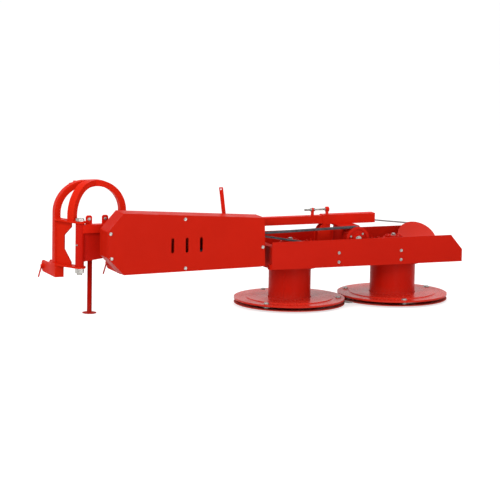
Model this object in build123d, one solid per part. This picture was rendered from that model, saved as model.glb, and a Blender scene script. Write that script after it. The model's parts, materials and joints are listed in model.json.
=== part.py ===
"""Belt-driven rotary mower with two drums, carried beside a tractor on a three-point hitch.

Built in millimetres with X outward along the beam, Y forward and Z up. Sizes are taken from the
inner drum's axis on the ground, and the finished pieces are moved together so that the origin
lies on the ground under the middle of the machine.
"""

from build123d import *
from math import asin, atan2, cos, degrees, hypot, pi, radians, sin
import os

# Cutting unit: two counter-rotating drums, each with a rotor disc, three knives and a skid disc
disc_radius = 373
disc_gap = 12
drum_pitch = 2 * disc_radius + disc_gap
blade_reach = 73
blade_circle_radius = disc_radius + blade_reach
drum_radii = {"inner": 142, "outer": 153}
drum_wall = 5
drum_flange_radius = 190
drum_flange_thickness = 10
drum_height = 208
disc_thickness = 6
disc_rim_depth = 12
disc_step_radius = disc_radius - 83
disc_step_height = 5
spindle_radius = 20
knife_count = 3
knife_thickness = 5
knife_width = 42
knife_tail = 24
bolt_circle_radius = disc_radius - 43
bolt_radius = 8
bolt_head_radius = 15
bolt_head_height = 8
spacer_radius = 17
first_bolt_angle = {"inner": 100, "outer": 20}
knife_turn = {"inner": (128, -126, -40), "outer": (135, -132, 118)}
skid_flat_radius = disc_radius - 113
skid_rise = 12
skid_wall = 4
skid_hub_radius = 60
skid_hub_top = 26

# Clearances
running = 0.05
seat = 0.3
pivot_gap = 1

# Deck between two side panels, with its rails and end members
panel_y = 245
panel_wall = 4
panel_bottom = 280
panel_top = 464
panel_inner_end = -230
panel_outer_end = drum_pitch + 402
panel_cut = (85, 101)
rail_size = 35
rail_wall = 3
rail_inner_end = -245
deck_wall = 8
deck_bottom = 282
deck_inner_end = -225
deck_reach = 110
channel_top = 426
channel_depth = 50
channel_wall = 6
bracket_places = (251, drum_pitch - 52)
bracket_wall = 10
bracket_rise = 110
bracket_reach = 121

# Drum heads, cross shaft tubes and gearbox
head_radius = 75
head_flange_radius = 108
head_flange_wall = 12
head_height = 140
head_cap_radius = 58
head_cap_height = 8
cross_z = 365
cross_tube_radius = 55
cross_flange_radius = 70
cross_flange_wall = 10
head_boss_reach = 112
gearbox_x = (330, 460)
gearbox_y = (-110, 60)
gearbox_round = 18
input_x = 400
input_z = 458
input_nose_radius = 46
input_nose_reach = 30

# Telescopic beam with its adjusting screw, lugs, lever and tube on top
beam_z = 569
outer_beam_size = 64
beam_wall = 5
inner_beam_size = outer_beam_size - 2 * beam_wall
outer_beam_x = (222, 603)
inner_beam_end = 545
screw_z = 635
screw_radius = 6
screw_x = (97, 274)
lug_width = 26
lug_wall = 12
lug_places = {"inner": 156, "outer": 262}
hitch_lug_places = (-1420, -1309)
hitch_lug_width = 42
hitch_lug_wall = 10
hitch_lug_top = 652
lever_x = -478
lever_lean = -28
lever_width = 26
lever_wall = 8
lever_top = 809
lever_eye_radius = 6
top_tube_x = (-934, -680)
top_tube_radius = 23
top_tube_saddle_wall = 10
post_x = (188, 276)
post_wall = 8
post_half_gap = 22
bracket_plate_x = (302, 441)
bracket_plate_wall = 8
bracket_plate_rear = -142

# Vertical pivot at the inner end of the beam, with the web plate under the beam
pivot_x = -1488
pivot_tube_radius = 29
pivot_pin_radius = 18
upper_plate_z = (607, 619)
lower_plate_z = (310, 322)
web_wall = 12
web_bottom = 352
web_outer_end = -760

# Belt drive
belt_y = -180
belt_count = 3
belt_pitch = 19
belt_width = 13
belt_thickness = 9
small_pulley_radius = 82
drive_pulley_radius = 160
drive_x = -1200
drive_z = 488
idler_radius = 32
idler_places = {"upper": (-350, 555), "lower": (-310, 469)}
pulley_side = 7
groove_depth = 9
pulley_hub_radius = 36
pulley_face = 10
pto_radius = 17.5
pto_tip = 132
pto_spline_length = 58
pto_spline_width = 9
pto_spline_depth = 3.5
pto_bearing_radius = 45
pto_bearing_y = (-84, 66)
idler_spindle_radius = 10

# Sheet guard round the belts, open at its outer end
guard_rear = -222
guard_front = -60
guard_sheet = 3
guard_outline = (
    # x, z
    (-1371, 403),
    (-1259, 287),
    (-307, 302),
    (-271, 306),
    (-278, 628),
    (-1264, 692),
    (-1371, 573),
)
guard_slot_places = (-924, -824, -724)
guard_slot_size = (20, 98)
guard_slot_z = 467
guard_bracket_places = (-1300, -620)
guard_bracket_width = 60

# Hitch frame that swings about the vertical pivot
hoop_x = (-1583, -1128)
hoop_y = 200
hoop_radial = 40
hoop_depth = 52
hoop_top = 860
hoop_bend = 190
back_leg_foot = (-1522, 60)
back_leg_straight = 26
back_leg_bend = hoop_top - hoop_radial / 2 - upper_plate_z[1] - back_leg_straight
hitch_plate_radius = 40
hitch_plate_left = -1612
hitch_plate_right = -1552
hitch_plate_shoulder = 140
hitch_web_wall = 10
hitch_web_end = (-1523, 65)
hitch_web_notch = 62
clevis_width = 61
clevis_wall = 8
clevis_height = 77
clevis_y = (135, 420)
clevis_slot = 110
link_pin_radius = 11
top_pin_radius = 9.5
top_ear_x = -1405
top_ear_gap = 52
top_ear_wall = 12
top_pin_y = 268
top_pin_z = hoop_top - 34
pin_overhang = 16

# Parking stand, swath disc and tie rod
stand_x = -1400
stand_y = 52
stand_radius = 16
stand_top = 520
stand_foot_radius = 46
stand_foot_height = 8
sleeve_wall = 5
sleeve_z = (354, 535)
swath_radius = 140
swath_dish = 22
swath_wall = 4
swath_centre = (drum_pitch + 208, 75.6, 386.4)
swath_tilt = 45
swath_spindle_radius = 12
swath_bearing_radius = 24
swath_bearing_reach = (-90, -26)
swath_arm_size = 30
tie_rod_radius = 5
tie_rod_start = (596, 41, 546)
tie_rod_end = (drum_pitch + 242, 231, 479)

nodes = {}


def block(x, y, z):
    """A box between its low and high values along each axis."""
    middle = Pos((x[0] + x[1]) / 2, (y[0] + y[1]) / 2, (z[0] + z[1]) / 2)
    return middle * Box(x[1] - x[0], y[1] - y[0], z[1] - z[0])


def bar(start, end, radius):
    """A round bar between two points."""
    run = Vector(*end) - Vector(*start)
    along = Plane(origin=start, z_dir=run)
    return along * Cylinder(radius, run.length, align=(Align.CENTER, Align.CENTER, Align.MIN))


def turned(profile):
    """A piece turned about the vertical axis from its (radius, height) outline."""
    return revolve(make_face(Polyline(*[(r, 0, z) for r, z in profile], close=True)), Axis.Z)


def upright(outline, y):
    """A plate that stands along X, from its (x, z) outline, between two values of Y."""
    face = make_face(Polyline(*[(px, y[0], pz) for px, pz in outline], close=True))
    return extrude(face, amount=y[1] - y[0], dir=(0, 1, 0))


def crosswise(outline, x):
    """A plate that stands along Y, from its (y, z) outline, between two values of X."""
    face = make_face(Polyline(*[(x[0], py, pz) for py, pz in outline], close=True))
    return extrude(face, amount=x[1] - x[0], dir=(1, 0, 0))


def about(middle, reach):
    """The low and high values of something centred on a value."""
    return (middle - reach, middle + reach)


def hex_prism(centre, radius, height):
    """A hexagon nut or head that stands on a point."""
    return Pos(*centre) * extrude(RegularPolygon(radius, 6), amount=height)


# ---- Drums: shell, rotor disc, knife bolts, knives and skid disc -----------------------------
knife_z = skid_hub_top - 0.7
knife_top = knife_z + knife_thickness
bolt_low_head = (knife_z - seat - 4, knife_z - seat)
spacer_z = knife_top + 0.7
disc_low = spacer_z + 6
disc_top = disc_low + disc_rim_depth
disc_plate_low = disc_top - disc_thickness
shell_low = disc_top + disc_step_height
flange_low = shell_low + drum_height
flange_top = flange_low + drum_flange_thickness
deck_top = deck_bottom + deck_wall
spindle_top = deck_top + head_height - 30
drum_places = {"inner": 0, "outer": drum_pitch}

for side, drum_x in drum_places.items():
    radius = drum_radii[side]
    shell = turned([
        (0, flange_top),
        (0, flange_low),
        (radius - drum_wall, flange_low),
        (radius - drum_wall, shell_low),
        (radius, shell_low),
        (radius, flange_low),
        (drum_flange_radius, flange_low),
        (drum_flange_radius, flange_top),
    ])
    nodes[f"drum_shell_{side}"] = Pos(drum_x, 0, 0) * shell
    nodes[f"drum_shaft_{side}"] = [
        bar((drum_x, 0, skid_wall + 2), (drum_x, 0, flange_low), spindle_radius),
        bar((drum_x, 0, flange_top), (drum_x, 0, spindle_top), spindle_radius),
    ]
    disc = turned([
        (spindle_radius + running, shell_low),
        (spindle_radius + running, shell_low - disc_thickness),
        (disc_step_radius, shell_low - disc_thickness),
        (disc_step_radius + 8, disc_plate_low),
        (disc_radius - disc_thickness, disc_plate_low),
        (disc_radius - disc_thickness, disc_low),
        (disc_radius, disc_low),
        (disc_radius, disc_top),
        (disc_step_radius + 8, disc_top),
        (disc_step_radius, shell_low),
    ])
    skid = turned([
        (0, 0),
        (skid_flat_radius, 0),
        (disc_radius - 23, skid_rise),
        (disc_radius, skid_rise),
        (disc_radius, skid_rise + skid_wall),
        (disc_radius - 23, skid_rise + skid_wall),
        (skid_flat_radius - 1, skid_wall),
        (skid_hub_radius, skid_wall),
        (skid_hub_radius, skid_hub_top),
        (spindle_radius + running, skid_hub_top),
        (spindle_radius + running, skid_wall),
        (0, skid_wall),
    ])
    nodes[f"skid_disc_{side}"] = Pos(drum_x, 0, 0) * skid
    bolt = turned([
        (0, bolt_low_head[0]),
        (bolt_head_radius, bolt_low_head[0]),
        (bolt_head_radius, bolt_low_head[1]),
        (bolt_radius, bolt_low_head[1]),
        (bolt_radius, spacer_z),
        (spacer_radius, spacer_z),
        (spacer_radius, disc_plate_low),
        (bolt_radius, disc_plate_low),
        (bolt_radius, disc_top),
        (bolt_head_radius, disc_top),
        (bolt_head_radius - 2, disc_top + bolt_head_height),
        (0, disc_top + bolt_head_height),
    ])
    bolts = []
    for index in range(knife_count):
        angle = first_bolt_angle[side] + 360 / knife_count * index
        at_bolt = Pos(drum_x, 0, 0) * Rot(0, 0, angle) * Pos(bolt_circle_radius, 0, 0)
        bolts.append(at_bolt * bolt)
        hole = Cylinder(bolt_radius + running, disc_thickness * 4)
        disc -= Rot(0, 0, angle) * Pos(bolt_circle_radius, 0, disc_top) * hole
        reach = blade_circle_radius - bolt_circle_radius
        blade = block((-knife_tail, reach), about(0, knife_width / 2), (knife_z, knife_top))
        blade = chamfer(blade.edges().filter_by(Axis.Z), 8)
        blade -= Cylinder(bolt_radius + seat, knife_top * 3)
        turn = Rot(0, 0, knife_turn[side][index])
        nodes[f"knife_{side}_{index + 1}"] = at_bolt * turn * blade
    nodes[f"rotor_disc_{side}"] = Pos(drum_x, 0, 0) * disc
    nodes[f"knife_bolts_{side}"] = bolts

# ---- Deck, rails, side panels and end members --------------------------------------------------
panel_inside = panel_y - panel_wall
rail_outer_end = panel_outer_end - 13
rail_z = (panel_bottom, panel_bottom + rail_size)
rail_inside = panel_inside - rail_size
deck_x = (deck_inner_end, drum_pitch + deck_reach)
deck = block(deck_x, about(0, rail_inside), (deck_bottom, deck_top))
for drum_x in drum_places.values():
    deck -= Pos(drum_x, 0, deck_top) * Cylinder(spindle_radius * 2, deck_wall * 4)
nodes["deck_plate"] = deck

panel_outline = [
    (panel_inner_end, panel_bottom),
    (panel_outer_end, panel_bottom),
    (panel_outer_end, panel_top - panel_cut[1]),
    (panel_outer_end - panel_cut[0], panel_top),
    (panel_inner_end, panel_top),
]
nodes["side_panel_rear"] = upright(panel_outline, (-panel_y, -panel_inside))
nodes["side_panel_front"] = upright(panel_outline, (panel_inside, panel_y))

rails = []
for low_y in (-panel_inside, rail_inside):
    rail_y = (low_y, low_y + rail_size)
    core_y = (low_y + rail_wall, low_y + rail_size - rail_wall)
    core_z = (rail_z[0] + rail_wall, rail_z[1] - rail_wall)
    rail = block((rail_inner_end, rail_outer_end), rail_y, rail_z)
    rail -= block((rail_inner_end, rail_outer_end), core_y, core_z)
    rails.append(rail)
end_x = (rail_outer_end - rail_size, rail_outer_end)
nodes["end_tube"] = block(end_x, about(0, rail_inside), rail_z)
nodes["side_rails"] = rails

channel_profile = [
    (deck_inner_end, deck_top),
    (deck_inner_end + channel_depth, deck_top),
    (deck_inner_end + channel_depth, deck_top + channel_wall),
    (deck_inner_end + channel_wall, deck_top + channel_wall),
    (deck_inner_end + channel_wall, channel_top - channel_wall),
    (deck_inner_end + channel_depth, channel_top - channel_wall),
    (deck_inner_end + channel_depth, channel_top),
    (deck_inner_end, channel_top),
]
channel = upright(channel_profile, about(0, panel_inside))
for low_y in (-panel_inside, rail_inside):
    channel -= block((rail_inner_end, 0), (low_y, low_y + rail_size), rail_z)
nodes["cross_channel"] = channel

side_brackets = []
for place in bracket_places:
    for way in (-1, 1):
        gusset = [
            (way * panel_inside, rail_z[1]),
            (way * panel_inside, deck_top + bracket_rise),
            (way * (panel_inside - bracket_reach), deck_top),
            (way * rail_inside, deck_top),
            (way * rail_inside, rail_z[1]),
        ]
        side_brackets.append(crosswise(gusset, about(place, bracket_wall / 2)))
nodes["side_brackets"] = side_brackets

# ---- Drum heads, cross tubes and gearbox --------------------------------------------------------
head_top = deck_top + head_height
head_profile = [
    (spindle_radius + running, deck_top),
    (head_flange_radius, deck_top),
    (head_flange_radius, deck_top + head_flange_wall),
    (head_radius, deck_top + head_flange_wall),
    (head_radius, head_top - 8),
    (head_radius - 8, head_top),
    (head_cap_radius, head_top),
    (head_cap_radius, head_top + head_cap_height),
    (0, head_top + head_cap_height),
    (0, spindle_top + 4),
    (spindle_radius + running, spindle_top + 4),
]
heads = []
for side, way in (("inner", 1), ("outer", -1)):
    drum_x = drum_places[side]
    boss_start = (drum_x + way * (spindle_radius + 30), 0, cross_z)
    boss_end = (drum_x + way * head_boss_reach, 0, cross_z)
    head = Pos(drum_x, 0, 0) * turned(head_profile)
    heads.append(head + bar(boss_start, boss_end, cross_tube_radius + 5))
nodes["drum_heads"] = heads

cross_tubes = []
for start, end in (
    (head_boss_reach, gearbox_x[0]),
    (gearbox_x[1], drum_pitch - head_boss_reach),
):
    tube = bar((start, 0, cross_z), (end, 0, cross_z), cross_tube_radius)
    for low in (start, end - cross_flange_wall):
        tube += bar((low, 0, cross_z), (low + cross_flange_wall, 0, cross_z), cross_flange_radius)
    cross_tubes.append(tube)
nodes["cross_shaft_tubes"] = cross_tubes

bracket_plate_top = beam_z - outer_beam_size / 2
bracket_plate_low = bracket_plate_top - bracket_plate_wall
gearbox = block(gearbox_x, gearbox_y, (deck_top, bracket_plate_low))
gearbox = fillet(gearbox.edges().filter_by(Axis.Z), gearbox_round)
nose_end = gearbox_y[0] - input_nose_reach
gearbox += bar((input_x, gearbox_y[0] + 5, input_z), (input_x, nose_end, input_z), input_nose_radius)
gearbox -= bar(
    (input_x, nose_end - 1, input_z), (input_x, gearbox_y[0] + 42, input_z), spindle_radius + running
)
nodes["gearbox"] = gearbox
nodes["gearbox_bracket"] = block(
    bracket_plate_x,
    (bracket_plate_rear, outer_beam_size / 2),
    (bracket_plate_low, bracket_plate_top),
)

# ---- Beam, its screw, lever, tube and posts ----------------------------------------------------
half_outer = outer_beam_size / 2
half_inner = inner_beam_size / 2
pivot_edge = pivot_x + pivot_tube_radius


def square_tube(x, half, wall):
    """A square tube that lies along X at the beam's height."""
    tube = block(x, about(0, half), about(beam_z, half))
    return tube - block(x, about(0, half - wall), about(beam_z, half - wall))


def screw_lug(place, top_of_tube):
    """An upright lug on a tube, round at the top and bored for the adjusting screw."""
    lug_x = about(place, lug_wall / 2)
    lug = block(lug_x, about(0, lug_width / 2), (top_of_tube, screw_z))
    lug += bar((lug_x[0], 0, screw_z), (lug_x[1], 0, screw_z), lug_width / 2)
    return lug - bar((lug_x[0] - 1, 0, screw_z), (lug_x[1] + 1, 0, screw_z), screw_radius + seat)


inner_beam = square_tube((pivot_x + 4, inner_beam_end), half_inner, beam_wall)
inner_beam -= Pos(pivot_x, 0, beam_z) * Cylinder(pivot_tube_radius + running, outer_beam_size * 2)
inner_beam += screw_lug(lug_places["inner"], beam_z + half_inner)
for place in hitch_lug_places:
    lug_x = about(place, hitch_lug_width / 2)
    lug = block(lug_x, about(20, hitch_lug_wall / 2), (beam_z + half_inner, hitch_lug_top))
    inner_beam += chamfer(lug.edges().filter_by(Axis.Y).sort_by(Axis.Z)[-2:], 9)
nodes["inner_beam"] = max(inner_beam.solids(), key=lambda piece: piece.volume)
outer_beam = square_tube(outer_beam_x, half_outer, beam_wall)
nodes["outer_beam"] = outer_beam + screw_lug(lug_places["outer"], beam_z + half_outer)

screw = bar((screw_x[0], 0, screw_z), (screw_x[1], 0, screw_z), screw_radius)
for lug_x, way in ((lug_places["inner"], -1), (lug_places["inner"], 1), (lug_places["outer"], -1)):
    near = lug_x + way * lug_wall / 2
    screw += bar((near, 0, screw_z), (near + way * screw_radius * 1.6, 0, screw_z), screw_radius * 1.8)
nodes["adjusting_screw"] = screw

lever_low = beam_z + half_inner
lever = upright([
    (lever_x - lever_width / 2, lever_low),
    (lever_x + lever_width / 2, lever_low),
    (lever_x + lever_lean + lever_width / 2, lever_top),
    (lever_x + lever_lean - lever_width / 2, lever_top),
], about(0, lever_wall / 2))
eye = (lever_x + lever_lean, lever_top - lever_width / 2)
lever -= bar((eye[0], -lever_wall, eye[1]), (eye[0], lever_wall, eye[1]), lever_eye_radius)
nodes["lever_bar"] = lever

top_tube_z = lever_low + top_tube_radius + 2
top_tube = bar((top_tube_x[0], 0, top_tube_z), (top_tube_x[1], 0, top_tube_z), top_tube_radius)
for low in (top_tube_x[0], top_tube_x[1] - top_tube_saddle_wall):
    saddle_z = (lever_low, top_tube_z)
    top_tube += block((low, low + top_tube_saddle_wall), about(0, top_tube_radius), saddle_z)
nodes["top_tube"] = top_tube

posts = []
post_top = bracket_plate_top
for low_y in (-post_half_gap - post_wall, post_half_gap):
    left, right = post_x
    flare = ThreePointArc(
        (outer_beam_x[0], low_y, post_top),
        (left + 10, low_y, post_top - 24),
        (left, low_y, post_top - 60),
    )
    rest = Polyline(
        (left, low_y, post_top - 60),
        (left, low_y, deck_top),
        (right, low_y, deck_top),
        (right, low_y, post_top),
        (outer_beam_x[0], low_y, post_top),
    )
    post = extrude(make_face(flare.edges() + rest.edges()), amount=post_wall, dir=(0, 1, 0))
    tube_hole = bar((left - 1, 0, cross_z), (right + 1, 0, cross_z), cross_tube_radius + running)
    posts.append(post - tube_hole)
nodes["post_plates"] = [piece for post in posts for piece in post.solids()]

# ---- Web plate, pivot tube, power take-off bearing and stand sleeve -----------------------------
web_top = beam_z - half_inner
web = upright([
    (pivot_edge, web_bottom),
    (pivot_edge + 160, web_bottom + 21),
    (web_outer_end, web_top - 40),
    (web_outer_end, web_top),
    (pivot_edge, web_top),
], about(0, web_wall / 2))
web -= bar((drive_x, -web_wall, drive_z), (drive_x, web_wall, drive_z), pto_bearing_radius)
nodes["arm_web"] = web

pivot_z = (lower_plate_z[1] + pivot_gap, upper_plate_z[0] - pivot_gap)
pivot_tube = Cylinder(pivot_tube_radius, pivot_z[1] - pivot_z[0])
pivot_tube -= Cylinder(pivot_pin_radius + running, pivot_z[1])
nodes["pivot_tube"] = Pos(pivot_x, 0, sum(pivot_z) / 2) * pivot_tube

bearing = bar(
    (drive_x, pto_bearing_y[0], drive_z), (drive_x, pto_bearing_y[1], drive_z),
    pto_bearing_radius - running,
)
bearing -= bar(
    (drive_x, pto_bearing_y[0] - 1, drive_z), (drive_x, pto_bearing_y[1] + 1, drive_z),
    pto_radius + running,
)
nodes["pto_bearing"] = bearing

sleeve_radius = stand_radius + seat + sleeve_wall
sleeve_y = (web_wall / 2, stand_y)
sleeve = Pos(stand_x, stand_y, sum(sleeve_z) / 2) * Cylinder(sleeve_radius, sleeve_z[1] - sleeve_z[0])
web_under_sleeve = web_bottom + 26
sleeve += block(about(stand_x, 8), sleeve_y, (web_under_sleeve, sleeve_z[1] - 15))
sleeve -= Pos(stand_x, stand_y, sum(sleeve_z) / 2) * Cylinder(stand_radius + seat, sleeve_z[1])
nodes["stand_sleeve"] = sleeve

foot = turned([
    (0, 0),
    (stand_foot_radius, 0),
    (stand_foot_radius, stand_foot_height / 2),
    (stand_radius, stand_foot_height),
    (stand_radius, stand_top),
    (0, stand_top),
])
nodes["parking_stand"] = Pos(stand_x, stand_y, 0) * foot

# ---- Belt drive ---------------------------------------------------------------------------------
def belt_face(grow):
    """The area inside a belt whose surface stands out from the groove floors by grow."""
    circles = (
        # x, z, signed radius: positive where the belt wraps the pulley anticlockwise
        (drive_x, drive_z, drive_pulley_radius - groove_depth + grow),
        (*idler_places["lower"], -(idler_radius + belt_thickness + 2 * seat - grow)),
        (input_x, input_z, small_pulley_radius - groove_depth + grow),
        (*idler_places["upper"], -(idler_radius + belt_thickness + 2 * seat - grow)),
    )
    count = len(circles)
    arrive, leave = [None] * count, [None] * count
    for here in range(count):
        after = (here + 1) % count
        x0, z0, r0 = circles[here]
        x1, z1, r1 = circles[after]
        heading = atan2(z1 - z0, x1 - x0) - asin((r1 - r0) / hypot(x1 - x0, z1 - z0))
        normal = (-sin(heading), cos(heading))
        leave[here] = (x0 - r0 * normal[0], z0 - r0 * normal[1])
        arrive[after] = (x1 - r1 * normal[0], z1 - r1 * normal[1])
    edges = []
    for here in range(count):
        after = (here + 1) % count
        x0, z0, r0 = circles[here]
        start = atan2(arrive[here][1] - z0, arrive[here][0] - x0)
        sweep = atan2(leave[here][1] - z0, leave[here][0] - x0) - start
        sweep = sweep % (2 * pi) if r0 > 0 else sweep % (2 * pi) - 2 * pi
        middle = start + sweep / 2
        half_way = (x0 + abs(r0) * cos(middle), z0 + abs(r0) * sin(middle))
        points = [(px, 0, pz) for px, pz in (arrive[here], half_way, leave[here], arrive[after])]
        edges.append(ThreePointArc(*points[:3]))
        edges.append(Line(points[2], points[3]))
    return make_face([edge for line in edges for edge in line.edges()])


belt_loop = extrude(belt_face(belt_thickness + seat), amount=belt_width, dir=(0, 1, 0))
belt_loop -= extrude(belt_face(seat), amount=belt_width, dir=(0, 1, 0))
first_belt = belt_y - (belt_count - 1) / 2 * belt_pitch
belt_places = [first_belt + index * belt_pitch for index in range(belt_count)]
# Each belt is cut crosswise into wraps, bends and straight runs, so that collision stays out of the loop.
bend_reach = idler_radius + 13
wrap_shares = (0.375, 0.366)
belt_cuts = (
    drive_x - 2 * drive_pulley_radius,
    drive_x + wrap_shares[0] * drive_pulley_radius,
    idler_places["upper"][0] - bend_reach,
    idler_places["lower"][0] + bend_reach,
    input_x - wrap_shares[1] * small_pulley_radius,
    input_x + 2 * small_pulley_radius,
)
belt_z = about(drive_z, 2 * drive_pulley_radius)
belt_spans = [
    belt_loop & block(span, about(0, 2 * belt_width), belt_z) for span in zip(belt_cuts, belt_cuts[1:])
]
for name, spans in (("drive_belts", (0, 4)), ("belt_runs", (1, 3)), ("belt_bends", (2,))):
    nodes[name] = [
        Pos(0, place - belt_width / 2, 0) * piece
        for place in belt_places for span in spans for piece in belt_spans[span].solids()
    ]

pulley_half = (belt_count - 1) / 2 * belt_pitch + belt_width / 2 + pulley_side
groove_half = belt_width / 2 + 1


def pulley_about_z(radius, face_depth):
    """A grooved pulley with dished faces, turned about Z and centred on its belts."""
    wheel = Cylinder(radius, 2 * pulley_half)
    for index in range(belt_count):
        offset = (index - (belt_count - 1) / 2) * belt_pitch
        ring = Cylinder(radius + 1, 2 * groove_half) - Cylinder(radius - groove_depth, 2 * groove_half)
        wheel -= Pos(0, 0, offset) * ring
    dish = Cylinder(radius - groove_depth - 8, face_depth) - Cylinder(pulley_hub_radius, face_depth)
    for way in (-1, 1):
        wheel -= Pos(0, 0, way * (pulley_half - face_depth / 2)) * dish
    return wheel


# A piece turned about Z is laid along Y by this turn, which sends its +Z end to the front.
to_front = Rot(-90, 0, 0)
small = pulley_about_z(small_pulley_radius, pulley_face)
hub_nose = Cylinder(pulley_hub_radius - 8, 10, align=(Align.CENTER, Align.CENTER, Align.MIN))
small += Pos(0, 0, -pulley_half - 10) * hub_nose
shaft_length = gearbox_y[0] + 40 - belt_y
small += Cylinder(spindle_radius, shaft_length, align=(Align.CENTER, Align.CENTER, Align.MIN))
nodes["gearbox_pulley"] = Pos(input_x, belt_y, input_z) * to_front * small

drive = pulley_about_z(drive_pulley_radius, pulley_half - 8)
drive += Cylinder(pto_radius, pto_tip - belt_y, align=(Align.CENTER, Align.CENTER, Align.MIN))
spline_low = pto_tip - pto_spline_length - belt_y
for index in range(6):
    slot = block(
        (pto_radius - pto_spline_depth, pto_radius + 5),
        about(0, pto_spline_width / 2),
        (spline_low, pto_tip - belt_y + 1),
    )
    drive -= Rot(0, 0, 60 * index) * slot
nodes["drive_pulley"] = Pos(drive_x, belt_y, drive_z) * to_front * drive

idler_spindles = []
for name, (idler_x, idler_z) in idler_places.items():
    roller = Cylinder(idler_radius, 2 * pulley_half) - Cylinder(idler_spindle_radius + running, 200)
    nodes[f"idler_{name}"] = Pos(idler_x, belt_y, idler_z) * to_front * roller
    idler_spindles.append(bar(
        (idler_x, belt_y - pulley_half, idler_z),
        (idler_x, guard_front - guard_sheet, idler_z),
        idler_spindle_radius,
    ))
nodes["idler_spindles"] = idler_spindles

# ---- Guard ---------------------------------------------------------------------------------------
guard_back_y = (guard_front - guard_sheet, guard_front)
cover_y = (guard_rear, guard_back_y[0])
outer_face = make_face(Polyline(*[(px, 0, pz) for px, pz in guard_outline], close=True))
inner_face = offset(outer_face, amount=-guard_sheet, kind=Kind.INTERSECTION)
cover = Pos(0, cover_y[0], 0) * extrude(outer_face, amount=cover_y[1] - cover_y[0], dir=(0, 1, 0))
hollow = extrude(inner_face, amount=cover_y[1] - cover_y[0], dir=(0, 1, 0))
cover -= Pos(0, cover_y[0] + guard_sheet, 0) * hollow
mouth = guard_outline[3:5]
cover -= block(
    (min(px for px, _ in mouth) - guard_sheet * 2, max(px for px, _ in mouth) + 1),
    (cover_y[0] + guard_sheet, cover_y[1]),
    (mouth[0][1] + guard_sheet, mouth[1][1] - guard_sheet),
)
slot_width, slot_height = guard_slot_size
for place in guard_slot_places:
    straight = slot_height - slot_width
    slot = block(
        about(place, slot_width / 2),
        (cover_y[0] - 1, cover_y[0] + guard_sheet + 1),
        about(guard_slot_z, straight / 2),
    )
    for way in (-1, 1):
        end_z = guard_slot_z + way * straight / 2
        slot += bar(
            (place, cover_y[0] - 1, end_z),
            (place, cover_y[0] + guard_sheet + 1, end_z),
            slot_width / 2,
        )
    cover -= slot
nodes["guard_cover"] = cover

back = Pos(0, guard_back_y[0], 0) * extrude(outer_face, amount=guard_sheet, dir=(0, 1, 0))
back -= bar(
    (drive_x, guard_back_y[0] - 1, drive_z), (drive_x, guard_back_y[1] + 1, drive_z),
    pto_bearing_radius,
)
nodes["guard_back"] = back

nodes["guard_brackets"] = [
    block(about(place, guard_bracket_width / 2), (guard_front, -half_inner), about(beam_z, 20))
    for place in guard_bracket_places
]

# ---- Swath disc, its arm, and the tie rod --------------------------------------------------------
# The disc is turned about Z with its hollow side up, then tipped back towards the rear.
swath_frame = Pos(*swath_centre) * Rot(swath_tilt, 0, 0)
dish_radius = (swath_radius ** 2 + swath_dish ** 2) / (2 * swath_dish)


def dish_arc(low):
    """The curve of the dish in the XZ plane from its axis to its rim."""
    half_turn = asin(swath_radius / dish_radius) / 2
    return ThreePointArc(
        (0, 0, low),
        (dish_radius * sin(half_turn), 0, low + dish_radius * (1 - cos(half_turn))),
        (swath_radius, 0, low + swath_dish),
    )


under, over = dish_arc(-swath_wall), dish_arc(0)
rim_line = Line((swath_radius, 0, swath_dish - swath_wall), (swath_radius, 0, swath_dish))
axis_line = Line((0, 0, 0), (0, 0, -swath_wall))
dish_edges = under.edges() + rim_line.edges() + over.edges() + axis_line.edges()
dish = revolve(make_face(dish_edges), Axis.Z)
hub_low = swath_bearing_reach[1] + pivot_gap
dish += turned([
    (0, swath_bearing_reach[0] - 8),
    (swath_spindle_radius, swath_bearing_reach[0] - 8),
    (swath_spindle_radius, hub_low),
    (swath_bearing_radius + 8, hub_low),
    (swath_bearing_radius + 8, 1),
    (swath_bearing_radius - 6, 6),
    (swath_bearing_radius - 6, 16),
    (0, 16),
])
nodes["swath_disc"] = swath_frame * dish

swath_bearing = swath_frame * bar(
    (0, 0, swath_bearing_reach[0]), (0, 0, swath_bearing_reach[1]), swath_bearing_radius
)
bearing_middle = swath_frame * Pos(0, 0, sum(swath_bearing_reach) / 2)
arm_middle = bearing_middle.position
arm_half = swath_arm_size / 2
swath_arm = block(
    about(arm_middle.X, arm_half), (arm_middle.Y, panel_inside), about(arm_middle.Z, arm_half)
)
swath_bore = swath_frame * bar((0, 0, -200), (0, 0, 50), swath_spindle_radius + running)
swath_keep_out = swath_frame * bar((0, 0, hub_low - pivot_gap), (0, 0, 60), swath_radius)
nodes["swath_arm"] = swath_bearing + (swath_arm - swath_keep_out) - swath_bore

tie_rod = bar(tie_rod_start, tie_rod_end, tie_rod_radius)
start_pad_y = (half_outer, tie_rod_start[1] + tie_rod_radius)
tie_rod += block(about(tie_rod_start[0] - 6, 11), start_pad_y, about(tie_rod_start[2], 12))
tie_rod += block(
    about(tie_rod_end[0], 12), (tie_rod_end[1] - 8, panel_inside), (panel_top - 34, tie_rod_end[2] + 8)
)
nodes["tie_rod"] = tie_rod

# ---- Hitch frame ---------------------------------------------------------------------------------
hoop_half = hoop_radial / 2


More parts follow.
